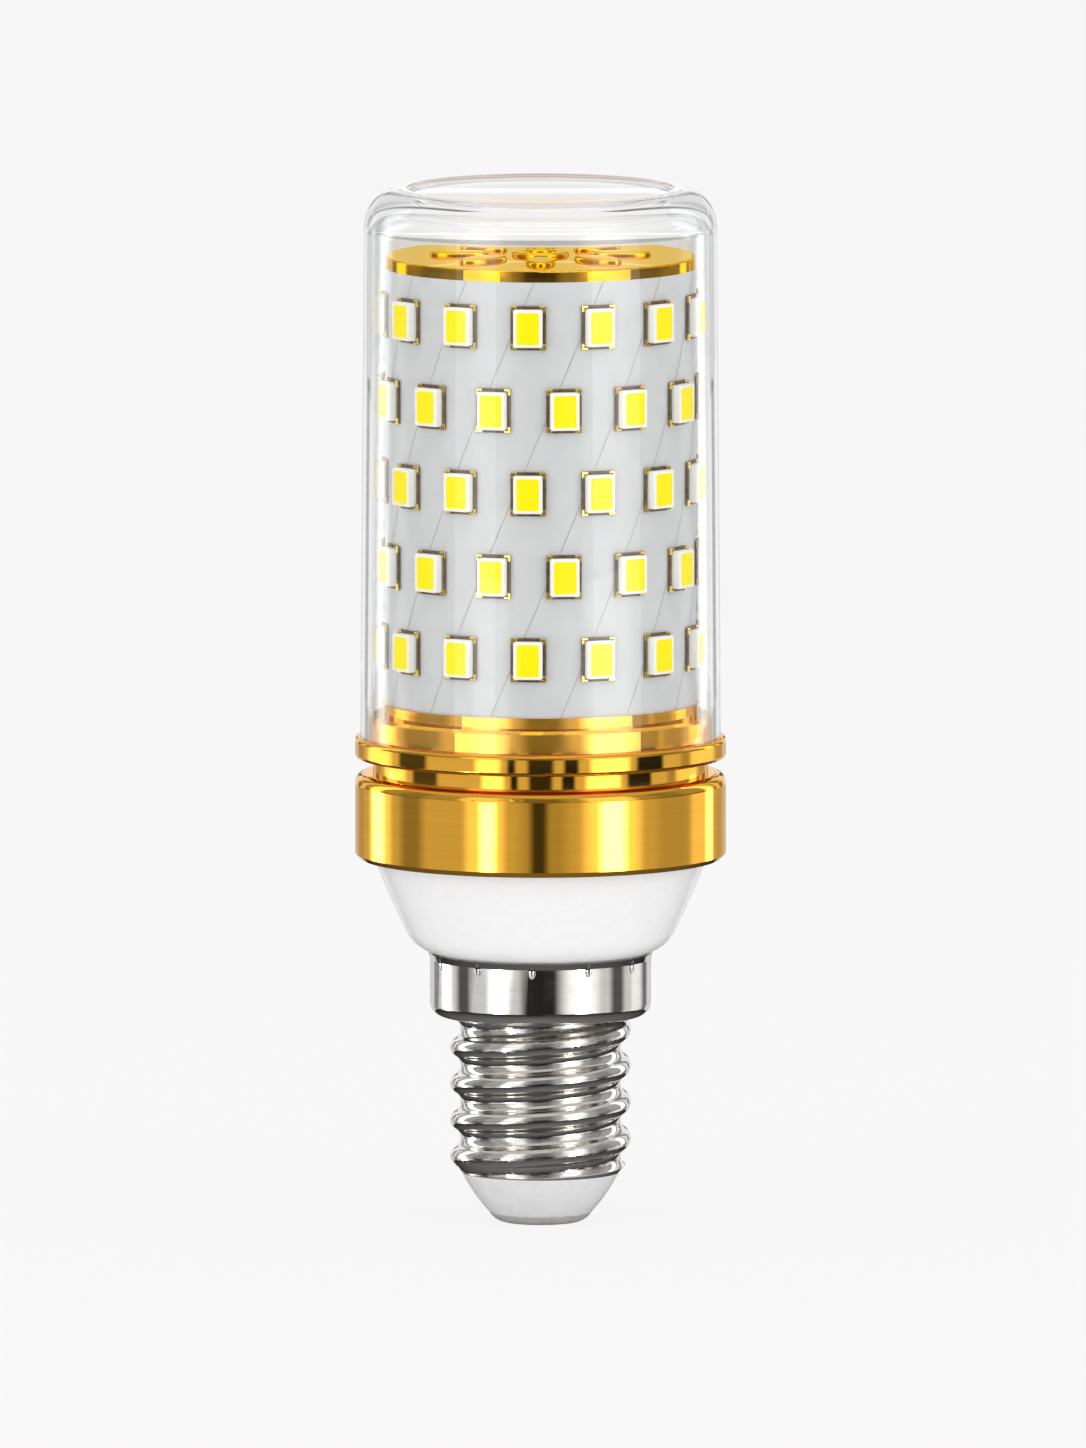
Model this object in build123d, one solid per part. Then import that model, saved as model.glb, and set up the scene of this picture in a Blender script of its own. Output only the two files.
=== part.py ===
from build123d import *

import math
import os

# LED light bulb: a clear cover over a rolled board of LEDs, a gold ring, a white housing
# and a small screw cap. Millimetres. The origin is the middle of the centre contact's face,
# +Z runs up the bulb's axis and the front is -Y.

# Whole bulb, from the contact to the cover's top
BULB_LENGTH = 80.0

# Screw cap, 14 mm size
CONTACT_D = 7.9
CONTACT_FLAT_D = 5.4
CONTACT_RISE = 0.75
CONTACT_PIN_D = 2.2
CONTACT_PIN_LENGTH = 4.4
INSULATOR_RISE = 3.1
INSULATOR_BULGE = 0.15
INSULATOR_FLOOR = 1.9
INSULATOR_WALL = 1.5
INSULATOR_SLEEVE = 2.8
THREAD_MAJOR_D = 13.89
THREAD_DEPTH = 0.8
THREAD_PITCH = 2.822
THREAD_LENGTH = 12.15
THREAD_START_ANGLE = 29.5
THREAD_LEAD_IN = 1.0
SECTION_POINTS = 24
SHELL_WALL = 0.3
RIM_INSET = 0.05
COLLAR_STEP = 1.555
COLLAR_HEIGHT = 4.85
COLLAR_CORNER_R = 1.0
LIP_HEIGHT = 0.45
LIP_FLARE = 0.12
STAKE_COUNT = 12
STAKE_ANGLE = -4.5
STAKE_WIDTH = 0.68
STAKE_LENGTH = 1.14
STAKE_DEPTH = 0.18
STAKE_DROP = 0.75
HALF_TURN = 180

# White housing
HOUSING_RISE = 7.35
HOUSING_OVERHANG = 1.0
HOUSING_CORNER_R = 3.0
HOUSING_BULGE = 0.12
HOUSING_WALL = 1.3
HOUSING_SETBACK = 1.45
SPIGOT_WALL = 1.2
SPIGOT_FLOOR = 1.0
GUIDE_THICKNESS = 0.8
GUIDE_GRIP = 0.9

# Gold ring
BAND_HEIGHT = 6.6
BAND_WALL = 1.6
BAND_TOP_R = 0.8
BAND_BEVEL = 0.4
GROOVE_HEIGHT = 1.2
GROOVE_DEPTH = 1.37
FLANGE_HEIGHT = 1.6
FLANGE_EDGE_R = 0.3
FLANGE_OVERHANG = 0.4
SEAT_RISE = 1.8
SEAT_BEVEL = 0.25
LEDGE_RISE = 0.9
LEDGE_MARGIN = 0.2
RING_SHOULDER = 1.6
BOARD_SPIGOT_RISE = 3.0
BOARD_SPIGOT_WALL = 1.2

# Rolled LED board and its lid
BOARD_D = 23.9
BOARD_WALL = 0.8
BOARD_FOOT = 4.5
BOARD_HEAD = 3.5
SEAM_WIDTH = 0.35
DISC_THICKNESS = 0.9
DISC_INSET = 0.05
DISC_EDGE_R = 0.12
SKIRT_DEPTH = 2.0
SKIRT_WALL = 0.8
PETAL_COUNT = 8
PETAL_LENGTH = 4.6
PETAL_WIDTH = 2.3
PETAL_RADIUS = 6.2
HUB_D = 4.4
HUB_BORE_D = 2.2
EMBOSS_HEIGHT = 0.3
EMBOSS_EDGE_R = 0.25

# LEDs, in staggered rows
LED_ROWS = 5
LEDS_PER_ROW = 14
FIRST_LED_ANGLE = -4.4
LED_WIDTH = 2.2
LED_LENGTH = 2.9
LED_HEIGHT = 0.72
LED_CUP_RIM = 0.22
LED_CUP_DEPTH = 0.4
LED_CUP_SLOPE = 0.1
LEAD_WALL = 0.2
LEAD_FIT = 0.05
LEAD_GAP = 0.5
LEAD_RISE = 0.62
LEAD_THICKNESS = 0.1

# Clear cover
LED_CLEARANCE = 0.185
COVER_WALL = 0.55
COVER_DRAFT = 0.42
COVER_TOP_WALL = 1.4
COVER_SHOULDER_R = 3.0
COVER_INNER_R = 2.4
HEADROOM = 3.8
DISH_DEPTH = 0.45
DISH_MARGIN = 0.2

# Driver board and the parts on it
DRIVER_HEIGHT = 28.0
DRIVER_THICKNESS = 1.0
DRIVER_SEAT = 0.7
DRIVER_LIFT = 1.0
BULK_CAP_D = 8.0
BULK_CAP_LENGTH = 12.0
BULK_CAP_FOOT = 14.5
CHOKE_D = 7.0
CHOKE_LENGTH = 7.5
CHOKE_FLANGE = 1.1
CHOKE_SPOOL_D = 3.2
WINDING_D = 6.4
CHOKE_FOOT = 9.0
FILM_CAP_WIDTH = 7.5
FILM_CAP_LENGTH = 6.5
FILM_CAP_DEPTH = 3.5
FILM_CAP_FOOT = 9.0
FILM_CAP_X = 1.4
FUSE_D = 2.2
FUSE_LENGTH = 6.0
FUSE_INSET = 2.65
RECTIFIER_SIZE = 4.7
CHIP_LENGTH = 4.9
CHIP_WIDTH = 3.9
CHIP_DROP = 4.0
PACKAGE_HEIGHT = 1.6
CHIP_LEAD_PITCH = 1.27
LEAD_STRIP = 0.2
RESISTOR_LENGTH = 2.0
RESISTOR_WIDTH = 1.25
RESISTOR_HEIGHT = 0.5
RESISTOR_X = 5.0
COMPONENT_LEAD_D = 0.6

# Wires
WIRE_D = 0.8
WIRE_BEND = 0.9
WIRE_SOLDER = 3.0
MAINS_WIRE_X = 3.0
SUPPLY_WIRE_X = 5.2
SUPPLY_WIRE_TURN = 30.0
NEUTRAL_FOLD = 4.5

# Clearances between pieces that fit together
PRESS_FIT = 0.06
SLIDE_FIT = 0.1
END_GAP = 0.2
SOLDER_GAP = 0.05

# Heights, from the contact up
z_insulator = CONTACT_RISE
z_rim = z_insulator + INSULATOR_RISE
z_collar = z_rim + THREAD_LENGTH
z_housing = z_collar + COLLAR_HEIGHT
z_band = z_housing + HOUSING_RISE
z_groove = z_band + BAND_HEIGHT
z_flange = z_groove + GROOVE_HEIGHT
z_cover = z_flange + FLANGE_HEIGHT
z_ledge = z_cover + SEAT_RISE
z_board = z_ledge + LEDGE_RISE
z_top = BULB_LENGTH
z_ceiling = z_top - COVER_TOP_WALL
z_disc_top = z_ceiling - HEADROOM
z_disc = z_disc_top - DISC_THICKNESS
z_first_row = z_board + BOARD_FOOT
row_pitch = (z_disc - BOARD_HEAD - z_first_row) / (LED_ROWS - 1)
z_sleeve = z_rim + INSULATOR_SLEEVE
z_spigot = z_sleeve + END_GAP
z_step = z_collar + COLLAR_CORNER_R + END_GAP
z_floor = z_step + SPIGOT_FLOOR
z_driver = z_housing + DRIVER_LIFT
z_driver_top = z_driver + DRIVER_HEIGHT
chip_height = DRIVER_HEIGHT - CHIP_DROP
chip_foot = chip_height - CHIP_LENGTH / 2
rectifier_height = (FILM_CAP_FOOT + FILM_CAP_LENGTH / 2 + chip_foot) / 2
z_shoulder = z_groove - RING_SHOULDER
z_tenon = z_shoulder - END_GAP

# Radii, from the axis out
major_r = THREAD_MAJOR_D / 2
minor_r = major_r - THREAD_DEPTH
collar_r = major_r + COLLAR_STEP
rim_r = minor_r - RIM_INSET
sleeve_r = rim_r - SHELL_WALL - PRESS_FIT
spigot_r = minor_r - SHELL_WALL - PRESS_FIT
spigot_bore = spigot_r - SPIGOT_WALL
step_r = collar_r - SHELL_WALL - PRESS_FIT
step_bore = step_r - SPIGOT_WALL
board_r = BOARD_D / 2
board_bore = board_r - BOARD_WALL
led_face_r = board_r + LEAD_THICKNESS + LED_HEIGHT
cover_bore_top = math.hypot(led_face_r, LED_WIDTH / 2) + LED_CLEARANCE
cover_bore = cover_bore_top + (z_top - z_cover) * math.tan(math.radians(COVER_DRAFT))
cover_r_top = cover_bore_top + COVER_WALL
cover_r = cover_bore + COVER_WALL
ring_r = cover_r + FLANGE_OVERHANG
neck_r = ring_r - GROOVE_DEPTH
seat_r = cover_bore - SLIDE_FIT
ledge_r = board_r + LEDGE_MARGIN
board_spigot_r = board_bore - SLIDE_FIT
ring_bore = board_spigot_r - BOARD_SPIGOT_WALL
band_bore = ring_r - BAND_WALL
tenon_r = band_bore - SLIDE_FIT
tenon_bore = tenon_r - HOUSING_WALL
housing_top_r = ring_r - HOUSING_SETBACK
housing_base_r = collar_r + HOUSING_OVERHANG
driver_half_width = step_bore + DRIVER_SEAT
driver_face = DRIVER_THICKNESS / 2
fuse_x = FUSE_INSET - driver_half_width
led_step = 360 / LEDS_PER_ROW


def outline(*edges):
    """Closed face in the plane of radius and height, from edges that follow each other."""
    return make_face(edges)


def rounded(face, radius, *corners):
    """The face with a fillet at each of its corners that lies at a given point."""
    for corner in corners:
        vertex = face.vertices().sort_by_distance(corner)[0]
        face = fillet(vertex, radius)
    return face


def turned(face):
    """Solid of revolution about the bulb's axis."""
    return revolve(Plane.XZ * face, axis=Axis.Z)


def twisted(face, height, pitch):
    """Solid swept up the axis by a flat section that turns once in each pitch."""
    path = Edge.make_line((0, 0, 0), (0, 0, height))
    guide = Edge.make_helix(pitch, height, major_r)
    return sweep(face, path=path, binormal=guide)


def wire(radius, bend, *points):
    """Round wire along straight runs joined by tangent arcs."""
    path = FilletPolyline(*points, radius=bend)
    return sweep(path.location_at(0) * Circle(radius), path=path)


def ring_of(shape, count, first=0.0):
    """Copies of a shape at even steps round the axis."""
    return [Rot(0, 0, first + 360 * k / count) * shape for k in range(count)]


def thread_radius(angle, inset):
    """Radius of the rolled thread at an angle from its crest: two tangent arcs, crest and root."""
    arc = (THREAD_PITCH**2 / 4 + THREAD_DEPTH**2) / (4 * THREAD_DEPTH)
    along = THREAD_PITCH * abs((angle + 180) % 360 - 180) / 360
    if along < THREAD_PITCH / 4:
        return major_r - inset - arc + math.sqrt(arc**2 - along**2)
    return minor_r - inset + arc - math.sqrt(arc**2 - (THREAD_PITCH / 2 - along) ** 2)


def thread_core(inset):
    """Threaded bar from the rim into the collar, with its skin inset from the outer thread."""
    points = []
    for k in range(SECTION_POINTS):
        angle = 360 * k / SECTION_POINTS
        points.append(Vector(thread_radius(angle, inset), 0).rotate(Axis.Z, THREAD_START_ANGLE - angle))
    section = make_face(Edge.make_spline(points, periodic=True))
    return Pos(0, 0, z_rim) * twisted(section, THREAD_LENGTH + COLLAR_CORNER_R, THREAD_PITCH)


def collar_form(inset):
    """Collar of the cap, with a round lower corner and a flared lip."""
    corner = (collar_r - inset, z_collar + inset)
    face = outline(
        Polyline(
            (0, z_housing),
            (0, z_collar + inset),
            corner,
            (collar_r - inset, z_housing - LIP_HEIGHT),
            (collar_r + LIP_FLARE - inset, z_housing),
            (0, z_housing),
        )
    )
    return turned(rounded(face, COLLAR_CORNER_R - inset, corner))


def lead_in_form(inset):
    """Room for the thread above a cone that trims its start down to the rim."""
    slope = THREAD_LEAD_IN / (major_r - rim_r)
    wide_r = collar_r - inset
    face = outline(
        Polyline(
            (0, z_housing),
            (0, z_rim),
            (rim_r - inset, z_rim),
            (wide_r, z_rim + slope * (collar_r - rim_r)),
            (wide_r, z_housing),
            (0, z_housing),
        )
    )
    return turned(face)


def skin_form(inset):
    """Solid inside one skin of the shell: thread and collar."""
    return (thread_core(inset) & lead_in_form(inset)) + collar_form(inset)


def cap_shell():
    """Rolled and plated screw shell of even wall, staked to the housing round its collar."""
    shell = skin_form(0) - skin_form(SHELL_WALL)
    z_stake = z_housing - LIP_HEIGHT - STAKE_DROP + STAKE_LENGTH / 2
    dent = outline(
        EllipticalCenterArc((0, 0), STAKE_WIDTH / 2, STAKE_LENGTH / 2, -90, arc_size=HALF_TURN),
        Line((0, STAKE_LENGTH / 2), (0, -STAKE_LENGTH / 2)),
    )
    reach = collar_r + STAKE_WIDTH / 2 - STAKE_DEPTH
    stake = Pos(0, -reach, z_stake) * turned(dent)
    return shell - ring_of(stake, STAKE_COUNT, STAKE_ANGLE)


def cap_insulator():
    """White insulator cone that carries the contact and plugs into the shell's rim."""
    foot_r = CONTACT_D / 2
    middle = ((foot_r + rim_r) / 2 + INSULATOR_BULGE, (z_insulator + z_rim) / 2)
    pin_r = CONTACT_PIN_D / 2 + PRESS_FIT
    face = outline(
        Polyline((pin_r, z_insulator), (foot_r, z_insulator)),
        ThreePointArc((foot_r, z_insulator), middle, (rim_r, z_rim)),
        Polyline(
            (rim_r, z_rim),
            (sleeve_r, z_rim),
            (sleeve_r, z_sleeve),
            (sleeve_r - INSULATOR_WALL, z_sleeve),
            (sleeve_r - INSULATOR_WALL, z_insulator + INSULATOR_FLOOR),
            (pin_r, z_insulator + INSULATOR_FLOOR),
            (pin_r, z_insulator),
        ),
    )
    return turned(face)


def centre_contact():
    """Contact pin with a domed head and a flat face."""
    flat_r = CONTACT_FLAT_D / 2
    pin_r = CONTACT_PIN_D / 2
    middle = ((flat_r + CONTACT_D / 2) / 2 + CONTACT_RISE / 5, CONTACT_RISE / 3)
    face = outline(
        Polyline((0, CONTACT_PIN_LENGTH), (0, 0), (flat_r, 0)),
        ThreePointArc((flat_r, 0), middle, (CONTACT_D / 2, z_insulator)),
        Polyline(
            (CONTACT_D / 2, z_insulator),
            (pin_r, z_insulator),
            (pin_r, CONTACT_PIN_LENGTH),
            (0, CONTACT_PIN_LENGTH),
        ),
    )
    return turned(face)


def housing_cone():
    """Outer form of the cone, slightly bulged, with a round lower corner."""
    corner = (housing_base_r, z_housing)
    middle = ((housing_base_r + housing_top_r) / 2 + HOUSING_BULGE, (z_housing + z_band) / 2)
    face = outline(
        Polyline((0, z_band), (0, z_housing), corner),
        ThreePointArc(corner, middle, (housing_top_r, z_band)),
        Line((housing_top_r, z_band), (0, z_band)),
    )
    return turned(rounded(face, HOUSING_CORNER_R, corner))


def housing_stem():
    """Spigots that carry the cap and the tenon that fits the ring, as one stepped bar."""
    face = outline(
        Polyline(
            (0, z_tenon),
            (0, z_spigot),
            (spigot_r, z_spigot),
            (spigot_r, z_step),
            (step_r, z_step),
            (step_r, z_band),
            (tenon_r, z_band),
            (tenon_r, z_tenon),
            (0, z_tenon),
        )
    )
    return turned(face)


def housing_hollow():
    """Inside of the housing: wire bore, step that the driver board stands on and wide room."""
    slope = (housing_top_r - housing_base_r) / HOUSING_RISE
    seat_wall_r = housing_base_r + slope * DRIVER_LIFT - HOUSING_WALL
    face = outline(
        Polyline(
            (0, z_tenon),
            (0, z_spigot),
            (spigot_bore, z_spigot),
            (spigot_bore, z_floor),
            (step_bore, z_floor),
            (step_bore, z_driver),
            (seat_wall_r, z_driver),
            (tenon_bore, z_band),
            (tenon_bore, z_tenon),
            (0, z_tenon),
        )
    )
    return turned(face)


def lower_housing():
    """White moulded housing with guides for the driver board's edges."""
    hollow = housing_hollow()
    guide = Pos(driver_half_width - GUIDE_GRIP, driver_face + SLIDE_FIT, z_driver) * Box(
        tenon_r, GUIDE_THICKNESS, z_tenon - z_driver, align=(Align.MIN, Align.MIN, Align.MIN)
    )
    pair = guide + mirror(guide, Plane.XZ)
    guides = (pair + mirror(pair, Plane.YZ)) & hollow
    return housing_cone() + housing_stem() - hollow + guides - neutral_slot()


def neutral_slot():
    """Slot through the spigot's end and groove up its side for the folded neutral wire."""
    width = WIRE_D + SLIDE_FIT
    slot = Pos(0, 0, z_spigot) * Box(
        2 * spigot_r, width, 2 * WIRE_D, align=(Align.MIN, Align.CENTER, Align.MIN)
    )
    groove = Pos(spigot_r - WIRE_D, 0, z_spigot) * Box(
        2 * WIRE_D,
        width,
        NEUTRAL_FOLD + 2 * WIRE_D,
        align=(Align.MIN, Align.CENTER, Align.MIN),
    )
    return slot + groove


def base_ring():
    """Turned gold ring: band, groove, flange, stepped seat and spigot for the board."""
    face = outline(
        Polyline(
            (band_bore, z_band),
            (ring_r - BAND_BEVEL, z_band),
            (ring_r, z_band + BAND_BEVEL),
            (ring_r, z_groove),
            (neck_r, z_groove),
            (neck_r, z_flange),
            (ring_r, z_flange),
            (ring_r, z_cover),
            (seat_r, z_cover),
            (seat_r, z_ledge - SEAT_BEVEL),
            (seat_r - SEAT_BEVEL, z_ledge),
            (ledge_r, z_ledge),
            (ledge_r, z_board),
            (board_spigot_r, z_board),
            (board_spigot_r, z_board + BOARD_SPIGOT_RISE),
            (ring_bore, z_board + BOARD_SPIGOT_RISE),
            (ring_bore, z_shoulder),
            (band_bore, z_shoulder),
            (band_bore, z_band),
        )
    )
    face = rounded(face, BAND_TOP_R, (ring_r, z_groove))
    face = rounded(face, FLANGE_EDGE_R, (ring_r, z_flange), (ring_r, z_cover))
    return turned(face)


def clear_cover():
    """Clear moulded cover with drafted walls, a round shoulder and a top dished to a hollow edge."""
    dish_r = cover_r_top - COVER_SHOULDER_R - DISH_MARGIN
    z_dish = z_top - DISH_DEPTH
    face = outline(
        Polyline((cover_bore, z_cover), (cover_r, z_cover), (cover_r_top, z_top), (dish_r, z_top)),
        RadiusArc((dish_r, z_top), (dish_r - DISH_DEPTH, z_dish), DISH_DEPTH),
        Polyline(
            (dish_r - DISH_DEPTH, z_dish),
            (0, z_dish),
            (0, z_ceiling),
            (cover_bore_top, z_ceiling),
            (cover_bore, z_cover),
        ),
    )
    face = rounded(face, COVER_SHOULDER_R, (cover_r_top, z_top))
    face = rounded(face, COVER_INNER_R, (cover_bore_top, z_ceiling))
    return turned(face)


def led_board():
    """White board rolled into a tube, its ends meeting in a diagonal seam between the LEDs."""
    height = z_disc - z_board
    tube = Pos(0, 0, z_board) * extrude(Circle(board_r) - Circle(board_bore), height)
    diagonal_pitch = 2 * LEDS_PER_ROW * row_pitch
    behind = FIRST_LED_ANGLE + (LEDS_PER_ROW // 2 - 0.5) * led_step - 360 * BOARD_FOOT / diagonal_pitch
    gap = Rot(0, 0, behind) * Pos(0, -board_r) * Rectangle(SEAM_WIDTH, 3 * BOARD_WALL)
    return tube - Pos(0, 0, z_board) * twisted(gap.face(), height, diagonal_pitch)


def on_board(depth):
    """Plane that faces the front, its origin a given depth above the board's skin."""
    return Plane((0, -board_r - depth, 0), x_dir=(1, 0, 0), z_dir=(0, -1, 0))


def at_each_led(shape):
    """Copies of a front-facing shape at every LED, each second row half a step on."""
    copies = []
    for row in range(LED_ROWS):
        stagger = led_step / 2 * (row % 2)
        lifted = Pos(0, 0, z_first_row + row * row_pitch) * shape
        copies += ring_of(lifted, LEDS_PER_ROW, FIRST_LED_ANGLE + stagger)
    return copies


def group(shapes):
    """Separate solids that share one node."""
    return Compound(children=[solid for shape in shapes for solid in shape.solids()])


def led_cup():
    """Tapered cup of an LED body, which the phosphor fills."""
    width = LED_WIDTH - 2 * LED_CUP_RIM
    length = LED_LENGTH - 2 * LED_CUP_RIM
    mouth = on_board(LEAD_THICKNESS + LED_HEIGHT) * Rectangle(width, length)
    floor = on_board(LEAD_THICKNESS + LED_HEIGHT - LED_CUP_DEPTH) * Rectangle(
        width - 2 * LED_CUP_SLOPE, length - 2 * LED_CUP_SLOPE
    )
    return loft([floor.face(), mouth.face()], ruled=True)


def led_bodies():
    body = extrude(on_board(LEAD_THICKNESS) * Rectangle(LED_WIDTH, LED_LENGTH), LED_HEIGHT)
    return group(at_each_led(body - led_cup()))


def led_phosphors():
    return group(at_each_led(led_cup()))


def led_lead_frames():
    """Two plated trays under each body, with a gap between them and walls that rise round it."""
    nest_width = LED_WIDTH + 2 * LEAD_FIT
    nest_length = LED_LENGTH + 2 * LEAD_FIT
    width = nest_width + 2 * LEAD_WALL
    length = (nest_length + 2 * LEAD_WALL - LEAD_GAP) / 2
    shift = (length + LEAD_GAP) / 2
    plate = Rectangle(width, length)
    pair = extrude(on_board(0) * (Pos(0, shift) * plate + Pos(0, -shift) * plate), LEAD_RISE)
    nest = extrude(on_board(LEAD_THICKNESS) * Rectangle(nest_width, nest_length), LEAD_RISE)
    return group(at_each_led(pair - nest))


def top_disc():
    """Gold lid of the board tube, with a skirt inside and an embossed rosette on top."""
    disc_r = board_r - DISC_INSET
    skirt_r = board_bore - SLIDE_FIT
    face = outline(
        Polyline(
            (0, z_disc),
            (skirt_r - SKIRT_WALL, z_disc),
            (skirt_r - SKIRT_WALL, z_disc - SKIRT_DEPTH),
            (skirt_r, z_disc - SKIRT_DEPTH),
            (skirt_r, z_disc),
            (disc_r, z_disc),
            (disc_r, z_disc_top),
            (0, z_disc_top),
            (0, z_disc),
        )
    )
    disc = turned(rounded(face, DISC_EDGE_R, (disc_r, z_disc_top)))
    hub = embossed(Circle(HUB_D / 2) - Circle(HUB_BORE_D / 2))
    petal = Pos(PETAL_RADIUS, 0) * embossed(Ellipse(PETAL_LENGTH / 2, PETAL_WIDTH / 2))
    return disc + [hub] + ring_of(petal, PETAL_COUNT)


def embossed(sketch):
    """Raised form on the disc with a rounded top edge."""
    raised = Pos(0, 0, z_disc_top) * extrude(sketch, EMBOSS_HEIGHT)
    return fillet(raised.edges().group_by(Axis.Z)[-1], EMBOSS_EDGE_R)


def driver_board():
    """Upright circuit board that stands on the housing's inner step between its guides."""
    return Pos(0, 0, z_driver) * Box(
        2 * driver_half_width,
        DRIVER_THICKNESS,
        DRIVER_HEIGHT,
        align=(Align.CENTER, Align.CENTER, Align.MIN),
    )


def on_driver(side, x, height, lift=0.0):
    """Plane on the driver board's front (-1) or back (1) face, its local y pointing up."""
    y = side * (driver_face + SOLDER_GAP + lift)
    return Plane((x, y, z_driver + height), x_dir=(-side, 0, 0), z_dir=(0, side, 0))


def bulk_lead(x):
    """Lead of the smoothing capacitor, bent from its end to the board."""
    y = driver_face + SOLDER_GAP + BULK_CAP_D / 2
    z = z_driver + BULK_CAP_FOOT
    drop = 2 * WIRE_BEND
    points = ((x, y, z), (x, y, z - drop), (x, driver_face + SOLDER_GAP, z - drop))
    return wire(COMPONENT_LEAD_D / 2, WIRE_BEND, *points)


def smoothing_capacitor():
    """Electrolytic can with a crimp near its foot, lying on the board, and its two leads."""
    can_r = BULK_CAP_D / 2
    crimp_z = BULK_CAP_LENGTH / 6
    crimp_r = can_r / 12
    can = outline(
        Polyline((0, BULK_CAP_LENGTH), (0, 0), (can_r, 0), (can_r, crimp_z - crimp_r)),
        ThreePointArc(
            (can_r, crimp_z - crimp_r), (can_r - crimp_r, crimp_z), (can_r, crimp_z + crimp_r)
        ),
        Polyline((can_r, crimp_z + crimp_r), (can_r, BULK_CAP_LENGTH), (0, BULK_CAP_LENGTH)),
    )
    can = turned(rounded(can, 2 * crimp_r, (can_r, 0), (can_r, BULK_CAP_LENGTH)))
    place = Pos(0, driver_face + SOLDER_GAP + can_r, z_driver + BULK_CAP_FOOT)
    spread = BULK_CAP_D / 4
    return place * can + bulk_lead(-spread) + bulk_lead(spread)


def choke_core():
    """Ferrite drum that stands on the board: two flanges and a spool."""
    spool = extrude(Circle(CHOKE_SPOOL_D / 2), CHOKE_LENGTH)
    flange = extrude(Circle(CHOKE_D / 2), CHOKE_FLANGE)
    drum = spool + flange + Pos(0, 0, CHOKE_LENGTH - CHOKE_FLANGE) * flange
    return on_driver(1, 0, CHOKE_FOOT).location * drum


def choke_winding():
    """Copper winding between the drum's flanges."""
    section = Circle(WINDING_D / 2) - Circle(CHOKE_SPOOL_D / 2)
    depth = CHOKE_LENGTH - 2 * CHOKE_FLANGE
    return on_driver(1, 0, CHOKE_FOOT, CHOKE_FLANGE).location * extrude(section, depth)


def film_capacitor():
    """Boxed film capacitor that stands off the board on two leads."""
    stand = COMPONENT_LEAD_D
    box = Pos(0, 0, stand) * extrude(Rectangle(FILM_CAP_WIDTH, FILM_CAP_LENGTH), FILM_CAP_DEPTH)
    box = fillet(box.edges(), COMPONENT_LEAD_D / 2)
    lead = extrude(Circle(COMPONENT_LEAD_D / 2), FILM_CAP_DEPTH)
    spread = FILM_CAP_WIDTH / 3
    leads = Pos(spread, 0) * lead + Pos(-spread, 0) * lead
    return on_driver(-1, FILM_CAP_X, FILM_CAP_FOOT).location * (box + leads)


def fuse_resistor():
    """Fusible resistor with a waisted body and leads bent to the board."""
    end_r = FUSE_D / 2
    waist = (0.85 * end_r, 0)
    cap = FUSE_LENGTH / 5
    half = FUSE_LENGTH / 2
    face = outline(
        Polyline((0, half), (0, -half), (end_r, -half), (end_r, cap - half)),
        ThreePointArc((end_r, cap - half), waist, (end_r, half - cap)),
        Polyline((end_r, half - cap), (end_r, half), (0, half)),
    )
    lift = end_r + WIRE_BEND
    reach = half + 2 * WIRE_BEND
    y = -driver_face - SOLDER_GAP
    points = ((0, -reach), (-lift, -reach), (-lift, reach), (0, reach))
    path = [(fuse_x, y + across, z_driver + FILM_CAP_FOOT + along) for across, along in points]
    body = Pos(fuse_x, y - lift, z_driver + FILM_CAP_FOOT) * turned(face)
    return body + wire(COMPONENT_LEAD_D / 2, WIRE_BEND, *path)


def gull_wing_package(length, width, leads_per_side, pitch):
    """Surface-mounted package: tapered moulding and bent leads, its foot on the XY plane."""
    stand = LEAD_STRIP / 2
    half = (PACKAGE_HEIGHT - stand) / 2
    parting = Rectangle(length, width)
    body = Pos(0, 0, stand + half) * (extrude(parting, half, taper=8) + extrude(parting, -half, taper=8))
    inner = width / 2 - LEAD_STRIP
    knee = width / 2 + 2 * LEAD_STRIP
    toe = knee + 3 * LEAD_STRIP
    mid = stand + half
    lead = make_face(
        Polyline(
            (inner, mid - LEAD_STRIP / 2),
            (knee - LEAD_STRIP / 2, mid - LEAD_STRIP / 2),
            (knee - LEAD_STRIP / 2, 0),
            (toe, 0),
            (toe, LEAD_STRIP),
            (knee + LEAD_STRIP / 2, LEAD_STRIP),
            (knee + LEAD_STRIP / 2, mid + LEAD_STRIP / 2),
            (inner, mid + LEAD_STRIP / 2),
            (inner, mid - LEAD_STRIP / 2),
        )
    )
    lead = extrude(Plane.YZ * lead, LEAD_STRIP, both=True)
    for k in range(leads_per_side):
        shifted = Pos((k - (leads_per_side - 1) / 2) * pitch, 0) * lead
        body += shifted + mirror(shifted, Plane.XZ)
    return body


def bridge_rectifier():
    """Rectifier midway between the film capacitor and the chip, its leads to the sides."""
    package = gull_wing_package(RECTIFIER_SIZE, RECTIFIER_SIZE, 2, RECTIFIER_SIZE / 2)
    return on_driver(-1, 0, rectifier_height).location * Rot(0, 0, 90) * package


def driver_chip():
    """Driver chip under the board's upper edge, its leads to the sides."""
    package = gull_wing_package(CHIP_LENGTH, CHIP_WIDTH, 4, CHIP_LEAD_PITCH)
    return on_driver(-1, 0, chip_height).location * Rot(0, 0, 90) * package


def chip_resistors():
    """Four chip resistors, two at each side of the chip's lower end."""
    chip = extrude(Rectangle(RESISTOR_LENGTH, RESISTOR_WIDTH), RESISTOR_HEIGHT)
    places = []
    for x in (-RESISTOR_X, RESISTOR_X):
        for shift in (-RESISTOR_WIDTH, RESISTOR_WIDTH):
            places.append(on_driver(-1, x, chip_foot + shift).location * chip)
    return group(places)


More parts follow.
